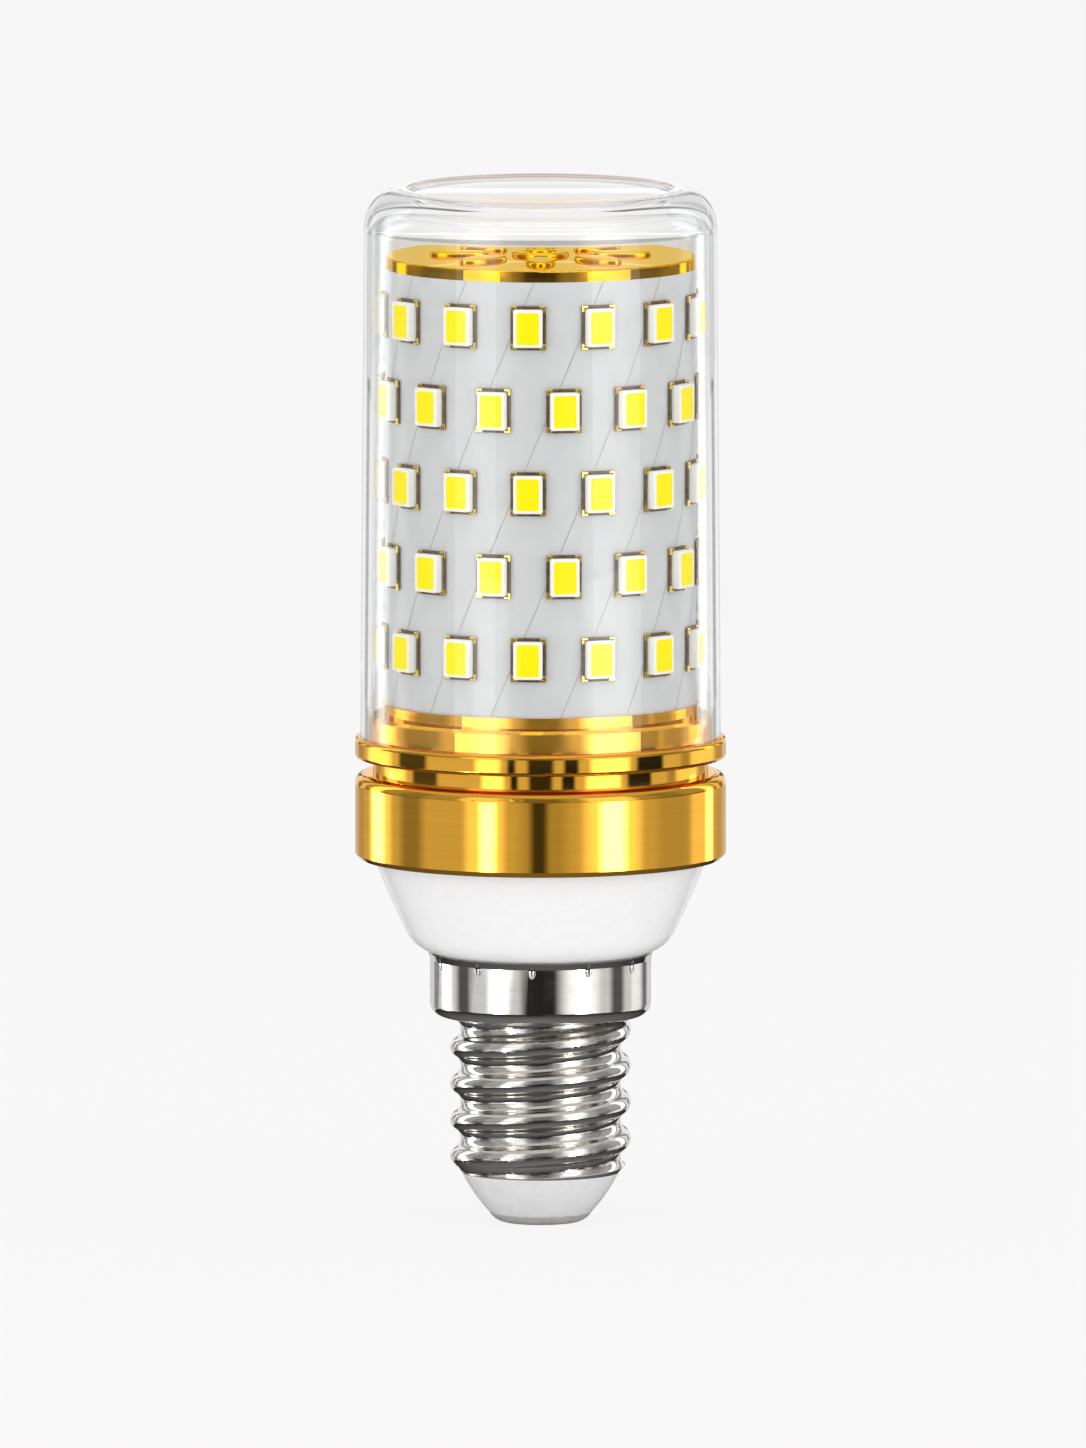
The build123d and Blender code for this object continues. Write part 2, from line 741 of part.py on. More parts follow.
def live_wire():
    """Wire from the contact's pin up to the front of the driver board."""
    y = -driver_face - WIRE_D / 2 - SOLDER_GAP
    points = (
        (0, 0, CONTACT_PIN_LENGTH),
        (0, 0, z_floor - 2 * WIRE_BEND),
        (-MAINS_WIRE_X, y, z_driver - WIRE_BEND),
        (-MAINS_WIRE_X, y, z_driver + WIRE_SOLDER),
    )
    return wire(WIRE_D / 2, WIRE_BEND, *points)


def neutral_wire():
    """Wire from the driver board down the spigot, out at its slot and folded up against the shell."""
    y = -driver_face - WIRE_D / 2 - SOLDER_GAP
    fold_r = minor_r - SHELL_WALL - SOLDER_GAP / 2 - WIRE_D / 2
    drop_r = fold_r - 2 * WIRE_BEND - WIRE_D / 4
    z_turn = z_spigot + WIRE_D
    points = (
        (MAINS_WIRE_X, y, z_driver + WIRE_SOLDER),
        (MAINS_WIRE_X, y, z_driver - WIRE_BEND),
        (drop_r, 0, z_floor - 2 * WIRE_BEND),
        (drop_r, 0, z_turn),
        (fold_r, 0, z_turn),
        (fold_r, 0, z_turn + NEUTRAL_FOLD),
    )
    return wire(WIRE_D / 2, WIRE_BEND, *points)


def led_supply_wires():
    """Two wires from the driver board's front to the inside of the LED board."""
    y = -driver_face - WIRE_D / 2 - SOLDER_GAP
    z_end = z_driver_top + 2 * WIRE_BEND
    wall = Vector(board_bore - SOLDER_GAP - SLIDE_FIT, 0).rotate(Axis.Z, -SUPPLY_WIRE_TURN)
    near = wall * ((SUPPLY_WIRE_X + 3 * WIRE_BEND) / wall.X)
    points = (
        (SUPPLY_WIRE_X, y, z_driver_top - WIRE_SOLDER),
        (SUPPLY_WIRE_X, y, z_driver_top),
        (near.X, near.Y, z_end),
        (wall.X, wall.Y, z_end),
    )
    right = wire(WIRE_D / 2, WIRE_BEND, *points)
    return group([right, mirror(right, Plane.YZ)])


NODES = (
    centre_contact,
    cap_insulator,
    cap_shell,
    lower_housing,
    base_ring,
    led_board,
    led_lead_frames,
    led_bodies,
    led_phosphors,
    top_disc,
    clear_cover,
    driver_board,
    smoothing_capacitor,
    choke_core,
    choke_winding,
    film_capacitor,
    fuse_resistor,
    bridge_rectifier,
    driver_chip,
    chip_resistors,
    live_wire,
    neutral_wire,
    led_supply_wires,
)

os.makedirs("parts", exist_ok=True)
for node in NODES:
    export_step(node(), f"parts/{node.__name__}.step")
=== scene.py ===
"""LED light bulb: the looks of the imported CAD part, as the photograph shows it.

Metres, in the CAD frame: the origin is the middle of the centre contact, +Z runs up the bulb
and the front is -Y. Angles round the bulb are in degrees from the front, towards +X.
"""

import math

import bpy
from mathutils import Matrix, Vector


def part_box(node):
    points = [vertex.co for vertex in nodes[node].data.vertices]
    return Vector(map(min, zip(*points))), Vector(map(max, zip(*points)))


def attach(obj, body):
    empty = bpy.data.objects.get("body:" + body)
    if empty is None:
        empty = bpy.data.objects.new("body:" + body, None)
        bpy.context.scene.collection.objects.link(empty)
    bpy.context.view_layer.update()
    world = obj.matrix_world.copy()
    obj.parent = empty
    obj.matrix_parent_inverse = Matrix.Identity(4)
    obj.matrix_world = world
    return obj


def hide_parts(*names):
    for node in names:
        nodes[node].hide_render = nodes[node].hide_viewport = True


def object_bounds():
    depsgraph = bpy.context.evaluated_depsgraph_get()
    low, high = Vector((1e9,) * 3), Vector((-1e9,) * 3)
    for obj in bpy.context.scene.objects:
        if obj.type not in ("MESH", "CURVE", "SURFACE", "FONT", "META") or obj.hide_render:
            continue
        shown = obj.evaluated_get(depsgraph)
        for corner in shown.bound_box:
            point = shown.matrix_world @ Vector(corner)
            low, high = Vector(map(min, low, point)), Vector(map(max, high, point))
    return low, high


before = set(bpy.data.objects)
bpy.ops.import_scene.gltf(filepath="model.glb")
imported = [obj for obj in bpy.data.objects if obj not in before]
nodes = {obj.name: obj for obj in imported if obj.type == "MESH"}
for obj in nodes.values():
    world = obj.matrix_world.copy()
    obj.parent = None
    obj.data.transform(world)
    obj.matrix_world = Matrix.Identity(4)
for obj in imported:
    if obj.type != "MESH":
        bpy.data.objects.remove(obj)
cad_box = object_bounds()

MM = 0.001
WHITE = (1, 1, 1, 1)

# LED package, from the board outwards: plated frame, moulded body, phosphor in the body's cup
LEDS_PER_ROW = 14
LED_ROWS = 5
LED_ROW_PITCH = 6.4 * MM
FIRST_LED_ANGLE = -4.4
LED_WIDTH = 2.2 * MM
LED_LENGTH = 2.9 * MM
LED_HEIGHT = 0.72 * MM
LED_EDGE = 0.06 * MM
LED_CORNER = 0.12 * MM
LEAD_THICKNESS = 0.1 * MM
LEAD_WALL = 0.2 * MM
LEAD_FIT = 0.05 * MM
LEAD_RISE = 0.26 * MM
LEAD_EDGE_RISE = 0.2 * MM
LEAD_CORNER = 0.5 * MM
LEAD_BEVEL = 0.25  # of the wall
PHOSPHOR_WIDTH = 1.74 * MM
PHOSPHOR_LENGTH = 2.48 * MM
PHOSPHOR_CORNER = 0.22 * MM
PHOSPHOR_SINK = 0.02 * MM
PHOSPHOR_CROWN = 0.03 * MM
CROWN_STEPS = (1.0, 0.9, 0.7, 0.4)
CUP_DEPTH = 0.3 * MM
CUP_SLOPE = 0.12 * MM
CORNER_STEPS = 5
LED_SMOOTH_ANGLE = 40
# Slots of the plated frame: its gold, and the dark brown that is painted shade round the body
GOLD_SLOT = 0
SHADE_SLOT = 1

# Gaps between the copper fields, which show through the board's white mask as fine lines
LINE_WIDTH = 0.085 * MM
LINE_PROUD = 0.008 * MM
LINE_OFFSET = -4.95
LINE_STEPS = 160
LINE_SMOOTH_ANGLE = 30

# Clear cover, its outside from the CAD node's box
COVER_WALL = 0.55 * MM
COVER_DRAFT = 0.42
COVER_TOP_WALL = 1.0 * MM
COVER_SHOULDER_R = 3.0 * MM
COVER_INNER_R = 2.4 * MM
DISH_DEPTH = 0.35 * MM
DISH_MARGIN = 0.2 * MM
ARC_STEPS = 14
TURN_STEPS = 288
COVER_SMOOTH_ANGLE = 35

# Clear plastic. Light that its wall has guided for more than GUIDED_DEPTH bounces ends there in a painted
# white glow.
CLEAR_TINT = (0.985, 0.992, 0.992, 1)
CLEAR_PASS_TINT = (0.96, 0.97, 0.97, 1)
CLEAR_IOR = 1.49
CLEAR_ROUGH = (0.0, 0.02)
CLEAR_GRAIN = 0.12
CLEAR_BUMP = 0.04
GUIDED_DEPTH = 8
GUIDED_GLOW_LEVEL = 0.65

# Grain of every surface: noise detail, the part of its range that shows, depth of its relief
GRAIN_DETAIL = 3.0
GRAIN_RANGE = (0.3, 0.7)
GRAIN_DEPTH = 0.05 * MM

# Polished gold. Its grain is stretched round the ring, as turning leaves it.
GOLD_DARK = (0.88, 0.43, 0.03)
GOLD_LIGHT = (0.92, 0.47, 0.035)
GOLD_EDGE_TINT = (1.0, 0.75, 0.3, 1)
DISC_DARK = (0.84, 0.43, 0.0)
DISC_LIGHT = (0.88, 0.47, 0.005)
DISC_EDGE_TINT = (1.0, 0.78, 0.0, 1)
GOLD_ROUGH = (0.005, 0.018)
GOLD_TURNED = (0.2, 0.2, 6)

# Photograph: its height and pixels a metre, and where it was taken from
IMAGE_HEIGHT_PX = 1448
PHOTO_SCALE = 13000
CAMERA_DISTANCE = 4.0
CAMERA_ELEVATION = 6.5
CAMERA_TARGET = Vector((0.19 * MM, 0, 38.5 * MM))
CAMERA_CLIP = (0.01, 50.0)
SENSOR = 36.0
MAX_BOUNCES = 32
GLOSSY_BOUNCES = 16

# Studio
BACKGROUND = (0.930, 0.922, 0.922, 1)
FLOOR_SIZE = 12.0
SHADOW_SHARE = 0.06
ROOM_LEVEL = 0.92
# What mirrors show of the room: sine of the elevation, brightness
MIRRORED_ROOM = ((-1.0, 0.2), (-0.6, 0.12), (-0.28, 0.02), (0.35, 0.65))
# Softboxes: angle from the front, elevation, width, height, brightness
SOFTBOXES = {
    "softbox_left": (-44, 5, 0.36, 0.9, 1.15),
    "softbox_right": (52, 5, 0.44, 0.9, 1.05),
    "softbox_top": (0, 80, 0.9, 0.5, 0.9),
}
LAMP_DISTANCE = 0.7
LAMP_POWER = 4  # watts a square metre at brightness 1

# Panels round the bulb that only mirrors show: middle angle, half width, soft edge, brightness.
# Each wrap of them spans the heights that one part of the bulb mirrors to the camera.
WRAP_RADIUS = 0.8
COVER_CROSSINGS = 3.5  # more transmissions than this: in and out through the cover's wall
CAP_SPAN = (-0.21, -0.066)
CAP_LEVEL = 0.75
CAP_PANELS = (
    (-45, 8, 8, 1.5),
    (-45, 3, 5, 8.0),
    (45, 12, 12, 1.3),
    (45, 4, 6, 8.0),
    (0, 13, 12, 0.02),
    (-88, 4, 10, 0.1),
    (88, 4, 10, 0.1),
    (-116, 6, 8, 1.4),
    (-116, 3, 4, 6.0),
    (119, 5, 7, 1.1),
    (-141, 3, 7, 0.3),
    (140, 3, 7, 0.2),
    (-180, 10, 8, 0.6),
    (180, 10, 8, 0.6),
)
RING_SPAN = (-0.066, -0.0563)
RING_LEVEL = 0.66
RING_PANELS = (
    (2, 8, 12, 0.45),
    (-1, 2, 6, 0.06),
    (-35, 8, 8, 1.4),
    (-33, 2, 5, 9.0),
    (46, 12, 12, 1.6),
    (46, 5, 6, 10.0),
    (-88, 4, 10, 0.3),
    (92, 8, 12, 0.5),
    (-120, 8, 9, 1.5),
    (-122, 4, 6, 7.0),
    (122, 10, 8, 1.1),
    (130, 2, 5, 5.0),
    (-150, 4, 6, 0.5),
    (148, 3, 6, 0.55),
    (-180, 10, 8, 0.6),
    (180, 10, 8, 0.6),
)
FLANGE_SPAN = (-0.0563, -0.0523)
FLANGE_LEVEL = 0.75
FLANGE_PANELS = (
    (-121, 10, 8, 2.0),
    (-87, 9, 5, 0.08),
    (-33, 5, 5, 2.5),
    (-18, 1, 3, 0.02),
    (0, 6, 4, 0.04),
    (19, 3, 3, 0.02),
    (44, 9, 6, 3.0),
    (72, 8, 4, 0.02),
    (102, 2, 5, 0.45),
    (122, 10, 8, 1.3),
    (-150, 4, 6, 0.45),
    (148, 4, 6, 0.5),
    (-180, 10, 8, 0.6),
    (180, 10, 8, 0.6),
)
SEAT_SPAN = (-0.0523, -0.046)
SEAT_LEVEL = 0.9
SEAT_PANELS = (
    (-120, 5, 8, 2.2),
    (-86, 12, 10, 0.45),
    (-31, 5, 8, 2.0),
    (2, 8, 14, 0.3),
    (43, 8, 10, 2.4),
    (76, 6, 6, 0.5),
    (98, 6, 8, 0.55),
    (122, 4, 6, 2.0),
    (-150, 4, 6, 0.5),
    (150, 4, 6, 0.5),
    (-180, 10, 8, 0.7),
    (180, 10, 8, 0.7),
)
COVER_SPAN = (-0.046, -0.010)
COVER_LEVEL = 0.3
COVER_PANELS = (
    (0, 8, 10, 0.04),
    (-33, 7, 9, 1.3),
    (45, 10, 12, 1.4),
    (-88, 6, 8, 0.15),
    (88, 6, 12, 0.15),
    (-124, 4, 6, 2.4),
    (130, 3, 5, 2.4),
    (-180, 36, 6, 0.95),
    (180, 36, 6, 0.95),
    (-175, 1, 2, 0.1),
    (175, 1, 2, 0.1),
    (-154, 2, 2, 0.2),
    (154, 2, 2, 0.2),
)
DISC_SPAN = (-0.010, 0.06)
DISC_LEVEL = 0.25
DISC_PANELS = (
    (0, 8, 10, 0.04),
    (-33, 7, 9, 0.6),
    (45, 10, 12, 0.7),
    (-88, 6, 8, 0.15),
    (88, 6, 12, 0.15),
    (-124, 4, 6, 2.2),
    (130, 3, 5, 2.2),
    (-180, 36, 6, 0.92),
    (180, 36, 6, 0.92),
    (-175, 1, 2, 0.1),
    (175, 1, 2, 0.1),
    (-152, 3, 3, 0.3),
    (152, 3, 3, 0.3),
)
HIGH_SPAN = (0.06, 0.1606)
TOP_SPAN = (0.1606, 0.175)
SKY_SPAN = (0.175, 0.69)
HIGH_LEVEL = 0.45
HIGH_PANELS = (
    (0, 8, 14, 0.2),
    (-38, 8, 10, 1.3),
    (45, 10, 12, 1.4),
    (-88, 6, 10, 0.3),
    (88, 6, 12, 0.3),
    (-124, 4, 6, 2.0),
    (130, 3, 5, 2.0),
    (-180, 36, 6, 0.95),
    (180, 36, 6, 0.95),
    (-171, 1, 2, 0.1),
    (171, 1, 2, 0.1),
    (-152, 3, 3, 0.3),
    (152, 3, 3, 0.3),
)
TOP_PANELS = HIGH_PANELS + ((-180, 36, 6, 1.3), (180, 36, 6, 1.3))
WRAPS = {
    "cap_panels": (CAP_SPAN, CAP_LEVEL, CAP_PANELS),
    "ring_panels": (RING_SPAN, RING_LEVEL, RING_PANELS),
    "flange_panels": (FLANGE_SPAN, FLANGE_LEVEL, FLANGE_PANELS),
    "seat_panels": (SEAT_SPAN, SEAT_LEVEL, SEAT_PANELS),
    "cover_panels": (COVER_SPAN, COVER_LEVEL, COVER_PANELS),
    "disc_panels": (DISC_SPAN, DISC_LEVEL, DISC_PANELS),
    "high_panels": (HIGH_SPAN, HIGH_LEVEL, HIGH_PANELS),
    "top_panels": (TOP_SPAN, HIGH_LEVEL, TOP_PANELS),
    "sky_panels": (SKY_SPAN, HIGH_LEVEL, HIGH_PANELS),
}

# Strips behind the bulb that show only through the clear cover, and draw its edges:
# angles, heights, brightness
STRIP_RADIUS = 0.4
STRIPS = {
    "edge_strip_left_26": ((-154, -152), (-0.012, 0.0285), 0.05),
    "edge_strip_right_26": ((154, 152), (-0.012, 0.0285), 0.05),
    "edge_strip_top": ((-210, -180, -150), (0.05, 0.068), 0.5),
    "back_card": ((-210, -180, -150), (0.0285, 0.05), 0.78),
}

board_low, board_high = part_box("led_board")
phosphor_low, phosphor_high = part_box("led_phosphors")
board_r = board_high.x
z_first_row = (phosphor_low.z + phosphor_high.z) / 2 - LED_ROW_PITCH * (LED_ROWS - 1) / 2
led_step = 360 / LEDS_PER_ROW


def link(obj):
    bpy.context.scene.collection.objects.link(obj)
    return obj


def mesh_object(name, verts, faces, smooth_angle=None):
    """New object from points and faces, smooth where faces meet at less than the angle."""
    mesh = bpy.data.meshes.new(name)
    mesh.from_pydata([tuple(v) for v in verts], [], faces)
    mesh.validate()
    mesh.update()
    if smooth_angle is not None:
        mesh.shade_smooth()
        mesh.set_sharp_from_angle(angle=math.radians(smooth_angle))
    return link(bpy.data.objects.new(name, mesh))


def round_bulb(radius, angle, z):
    """Point at a radius and an angle in radians from the front."""
    return (radius * math.sin(angle), -radius * math.cos(angle), z)


def rounded_rectangle(width, length, radius):
    """Corner points of a rectangle with round corners, anticlockwise from the right."""
    points = []
    for corner, (sx, sy) in enumerate(((1, 1), (-1, 1), (-1, -1), (1, -1))):
        cx = sx * (width / 2 - radius)
        cy = sy * (length / 2 - radius)
        for step in range(CORNER_STEPS + 1):
            a = math.radians(90 * (corner + step / CORNER_STEPS))
            points.append((cx + radius * math.cos(a), cy + radius * math.sin(a)))
    return points


def plate(width, length, radius, height):
    """Ring of a stack: a rounded rectangle at a height above the board."""
    return [(x, y, height) for x, y in rounded_rectangle(width, length, radius)]


def stacked(rings):
    """Points and faces of a closed form through rings of as many points, capped at both ends."""
    count = len(rings[0])
    verts = [point for ring in rings for point in ring]
    faces = [list(range(count))[::-1]]
    for r in range(len(rings) - 1):
        for k in range(count):
            j = (k + 1) % count
            faces.append([r * count + k, r * count + j, (r + 1) * count + j, (r + 1) * count + k])
    faces.append([(len(rings) - 1) * count + k for k in range(count)])
    return verts, faces


def led_places():
    """Frame of every LED: x round the bulb, y up and z out of the board."""
    for row in range(LED_ROWS):
        for k in range(LEDS_PER_ROW):
            angle = math.radians(FIRST_LED_ANGLE + led_step * (k + 0.5 * (row % 2)))
            across = Vector((math.cos(angle), math.sin(angle), 0))
            out = Vector((math.sin(angle), -math.cos(angle), 0))
            at = out * board_r + Vector((0, 0, z_first_row + row * LED_ROW_PITCH))
            place = Matrix((across, (0, 0, 1), out)).transposed().to_4x4()
            yield Matrix.Translation(at) @ place


def at_each_led(name, parts):
    """One mesh with a copy of every part at each LED. A part is points, faces and a slot number."""
    verts, faces, slots = [], [], []
    for place in led_places():
        for part_verts, part_faces, slot in parts:
            start = len(verts)
            verts += [place @ Vector(v) for v in part_verts]
            faces += [[start + i for i in face] for face in part_faces]
            slots += [slot] * len(part_faces)
    obj = mesh_object(name, verts, faces, LED_SMOOTH_ANGLE)
    obj.data.polygons.foreach_set("material_index", slots)
    return obj


def led_body_part():
    """Moulded body with softened edges and the cup that holds the phosphor."""
    top = LEAD_THICKNESS + LED_HEIGHT
    floor = top - CUP_DEPTH
    rings = [
        plate(LED_WIDTH, LED_LENGTH, LED_CORNER, LEAD_THICKNESS),
        plate(LED_WIDTH, LED_LENGTH, LED_CORNER, top - LED_EDGE),
        plate(LED_WIDTH - LED_EDGE, LED_LENGTH - LED_EDGE, LED_CORNER, top - LED_EDGE / 4),
        plate(LED_WIDTH - 2 * LED_EDGE, LED_LENGTH - 2 * LED_EDGE, LED_CORNER, top),
        plate(PHOSPHOR_WIDTH, PHOSPHOR_LENGTH, PHOSPHOR_CORNER, top),
        plate(PHOSPHOR_WIDTH - CUP_SLOPE, PHOSPHOR_LENGTH - CUP_SLOPE, PHOSPHOR_CORNER, floor),
    ]
    return (*stacked(rings), 0)


def phosphor_part():
    """Resin that fills the cup to just under its rim, with a slight crown."""
    level = LEAD_THICKNESS + LED_HEIGHT - PHOSPHOR_SINK
    floor = LEAD_THICKNESS + LED_HEIGHT - CUP_DEPTH
    rings = [plate(PHOSPHOR_WIDTH - CUP_SLOPE, PHOSPHOR_LENGTH - CUP_SLOPE, PHOSPHOR_CORNER, floor)]
    for share in CROWN_STEPS:
        width, length = PHOSPHOR_WIDTH * share, PHOSPHOR_LENGTH * share
        rise = PHOSPHOR_CROWN * (1 - share**2)
        rings.append(plate(width, length, PHOSPHOR_CORNER * share, level + rise))
    return (*stacked(rings), 0)


def bar(x0, x1, y0, y1, z0, z1):
    """Points and faces of a bar with its top edges bevelled."""
    cut = LEAD_BEVEL * min(x1 - x0, y1 - y0)
    corners = ((x0, y0), (x1, y0), (x1, y1), (x0, y1))
    inner = ((x0 + cut, y0 + cut), (x1 - cut, y0 + cut), (x1 - cut, y1 - cut), (x0 + cut, y1 - cut))
    low = [(x, y, z0) for x, y in corners]
    mid = [(x, y, z1 - cut) for x, y in corners]
    top = [(x, y, z1) for x, y in inner]
    return stacked([low, mid, top])


def lead_parts():
    """Plated tray round the body: base plate, gold corners, and the edges between them painted dark brown
    as shade.
    """
    inner_w = LED_WIDTH / 2 + LEAD_FIT
    inner_l = LED_LENGTH / 2 + LEAD_FIT
    half_w = inner_w + LEAD_WALL
    half_l = inner_l + LEAD_WALL
    corner_w = half_w - LEAD_CORNER
    corner_l = half_l - LEAD_CORNER
    foot = LEAD_THICKNESS / 2
    base = [plate(2 * half_w, 2 * half_l, LED_CORNER, z) for z in (0, LEAD_THICKNESS)]
    # The base plate and the edge bars take the dark brown painted shade; only the corners are gold
    parts = [(*stacked(base), SHADE_SLOT)]
    for side in (-1, 1):
        upright = sorted((side * inner_w, side * half_w))
        level = sorted((side * inner_l, side * half_l))
        parts.append((*bar(*upright, -corner_l, corner_l, foot, LEAD_EDGE_RISE), SHADE_SLOT))
        parts.append((*bar(-corner_w, corner_w, *level, foot, LEAD_EDGE_RISE), SHADE_SLOT))
        for end in (-1, 1):
            along_l = sorted((end * corner_l, end * inner_l))
            along_w = sorted((end * corner_w, end * half_w))
            parts.append((*bar(*upright, *along_l, foot, LEAD_RISE), GOLD_SLOT))
            parts.append((*bar(*along_w, *level, foot, LEAD_RISE), GOLD_SLOT))
    return parts


def arc(centre, radius, start, end):
    """Points of an arc in the plane of radius and height, between two angles in degrees."""
    points = []
    for step in range(ARC_STEPS + 1):
        a = math.radians(start + (end - start) * step / ARC_STEPS)
        points.append((centre[0] + radius * math.cos(a), centre[1] + radius * math.sin(a)))
    return points


def turned(name, profile, smooth_angle):
    """Closed form turned about the axis from a profile whose two ends lie on the axis."""
    verts = [(0, 0, profile[0][1])]
    for r, z in profile[1:-1]:
        verts += [round_bulb(r, 2 * math.pi * k / TURN_STEPS, z) for k in range(TURN_STEPS)]
    verts.append((0, 0, profile[-1][1]))
    last = len(verts) - 1
    faces = []
    for k in range(TURN_STEPS):
        j = (k + 1) % TURN_STEPS
        faces.append([0, 1 + j, 1 + k])
        for ring in range(len(profile) - 3):
            i = 1 + ring * TURN_STEPS
            faces.append([i + k, i + j, i + TURN_STEPS + j, i + TURN_STEPS + k])
        i = last - TURN_STEPS
        faces.append([i + k, i + j, last])
    return mesh_object(name, verts, faces, smooth_angle)


def cover_shell():
    """Clear cover with round shoulders and a dished top, finer than the CAD mesh for the light."""
    low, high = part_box("clear_cover")
    slope = math.tan(math.radians(COVER_DRAFT))
    outer_low = high.x
    outer_top = outer_low - slope * (high.z - low.z)
    inner_low = outer_low - COVER_WALL
    inner_top = outer_top - COVER_WALL
    ceiling = high.z - COVER_TOP_WALL
    dish_r = outer_top - COVER_SHOULDER_R - DISH_MARGIN
    shoulder = (outer_top - COVER_SHOULDER_R, high.z - COVER_SHOULDER_R)
    hollow = (inner_top - COVER_INNER_R, ceiling - COVER_INNER_R)
    profile = [
        (0, ceiling),
        *arc(hollow, COVER_INNER_R, 90, COVER_DRAFT),
        (inner_low, low.z),
        (outer_low, low.z),
        *arc(shoulder, COVER_SHOULDER_R, COVER_DRAFT, 90),
        (dish_r, high.z),
        *arc((dish_r - DISH_DEPTH, high.z), DISH_DEPTH, 0, -90)[1:],
        (0, high.z - DISH_DEPTH),
    ]
    return turned("clear_plastic_cover", profile, COVER_SMOOTH_ANGLE)


def board_lines():
    """Fine diagonal lines on the board, one past each LED of a row and on to the next rows."""
    turn = led_step / 2 / LED_ROW_PITCH
    verts, faces = [], []
    r = board_r + LINE_PROUD
    for k in range(LEDS_PER_ROW):
        for step in range(LINE_STEPS + 1):
            z = board_low.z + (board_high.z - board_low.z) * step / LINE_STEPS
            middle = FIRST_LED_ANGLE + LINE_OFFSET + k * led_step + turn * (z - z_first_row)
            for side in (-1, 1):
                verts.append(round_bulb(r, math.radians(middle) + side * LINE_WIDTH / 2 / r, z))
        start = k * 2 * (LINE_STEPS + 1)
        for step in range(LINE_STEPS):
            i = start + 2 * step
            faces.append([i, i + 1, i + 3, i + 2])
    return mesh_object("board_trace_gaps", verts, faces, LINE_SMOOTH_ANGLE)


class Shader:
    """A material's or the world's node tree, with short ways to add to it."""

    def __init__(self, owner):
        owner.use_nodes = True
        self.tree = owner.node_tree

    def plug(self, value, socket):
        """Feed an input from another node's output, or set it to a constant."""
        if isinstance(value, bpy.types.NodeSocket):
            self.tree.links.new(value, socket)
        else:
            socket.default_value = value

    def feed(self, node, inputs):
        for name, value in inputs.items():
            self.plug(value, node.inputs[name.replace("_", " ")])
        return node

    def add(self, kind, **inputs):
        return self.feed(self.tree.nodes.new(kind), inputs)

    def principled(self, **inputs):
        return self.feed(self.tree.nodes["Principled BSDF"], inputs).outputs["BSDF"]

    def maths(self, operation, first, second, clamp=False):
        node = self.add("ShaderNodeMath")
        node.operation = operation
        node.use_clamp = clamp
        self.plug(first, node.inputs[0])
        self.plug(second, node.inputs[1])
        return node.outputs["Value"]

    def mix(self, share, first, second):
        """Shader that goes from the first to the second as the share goes from 0 to 1."""
        node = self.add("ShaderNodeMixShader", Fac=share)
        self.plug(first, node.inputs[1])
        self.plug(second, node.inputs[2])
        return node.outputs["Shader"]

    def ranged(self, value, low, high):
        """A 0 to 1 value mapped to a range."""
        return self.add("ShaderNodeMapRange", Value=value, To_Min=low, To_Max=high).outputs["Result"]

    def grain(self, scale, stretch=(1, 1, 1)):
        """Noise in the object's own coordinates, its features about 1 mm wide at scale 1."""
        coords = self.add("ShaderNodeTexCoord").outputs["Object"]
        per_metre = [scale * s / MM for s in stretch]
        mapped = self.add("ShaderNodeMapping", Vector=coords, Scale=per_metre).outputs["Vector"]
        noise = self.add("ShaderNodeTexNoise", Vector=mapped, Scale=1.0, Detail=GRAIN_DETAIL)
        return noise.outputs["Fac"]

    def relief(self, height, strength):
        bump = self.add("ShaderNodeBump", Height=height, Strength=strength, Distance=GRAIN_DEPTH)
        return bump.outputs["Normal"]

    def light_path(self):
        return self.add("ShaderNodeLightPath").outputs

    def show(self, shader, output="Material Output"):
        self.plug(shader, self.tree.nodes[output].inputs["Surface"])


def surface(name, dark, light, rough, scale, bump, stretch=(1, 1, 1), **principled):
    """Material whose colour, roughness and fine relief all vary with one noise."""
    mat = bpy.data.materials.new(name)
    shader = Shader(mat)
    grain = shader.grain(scale, stretch)
    ramp = shader.add("ShaderNodeValToRGB", Fac=grain)
    for stop, position, colour in zip(ramp.color_ramp.elements, GRAIN_RANGE, (dark, light)):
        stop.position = position
        stop.color = (*colour, 1)
    shader.principled(
        Base_Color=ramp.outputs["Color"],
        Roughness=shader.ranged(grain, *rough),
        Normal=shader.relief(grain, bump),
        **principled,
    )
    return mat


def clear_plastic():
    """Clear moulded plastic. Lamp light and light scattered inside pass straight through it; light guided
    long in its wall ends in a painted white glow.
    """
    mat = bpy.data.materials.new("clear_plastic")
    shader = Shader(mat)
    grain = shader.grain(CLEAR_GRAIN)
    moulded = shader.principled(
        Base_Color=CLEAR_TINT,
        Transmission_Weight=1.0,
        IOR=CLEAR_IOR,
        Roughness=shader.ranged(grain, *CLEAR_ROUGH),
        Normal=shader.relief(grain, CLEAR_BUMP),
    )
    path = shader.light_path()
    straight = shader.add("ShaderNodeBsdfTransparent", Color=CLEAR_PASS_TINT).outputs["BSDF"]
    passes = shader.maths("MAXIMUM", path["Is Shadow Ray"], path["Is Diffuse Ray"])
    # Painted glow: white light given off where the wall has guided a ray for too many bounces
    painted_glow = shader.add("ShaderNodeEmission", Color=WHITE, Strength=GUIDED_GLOW_LEVEL).outputs["Emission"]
    guided = shader.maths("GREATER_THAN", path["Ray Depth"], GUIDED_DEPTH)
    shader.show(shader.mix(guided, shader.mix(passes, moulded, straight), painted_glow))
    mat.cycles.emission_sampling = "NONE"
    return mat


def paint(obj, *materials):
    """Give an object its materials. Faces of a new mesh keep the slots that they were made with."""
    if obj.data.materials:
        obj.data.materials.clear()
    for mat in materials:
        obj.data.materials.append(mat)


def dress(obj, materials, replaced=None):
    """Paint a new piece of the bulb and fix it to the part, in place of a CAD node if one is named."""
    paint(obj, *materials)
    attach(obj, "root")
    if replaced:
        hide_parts(replaced)


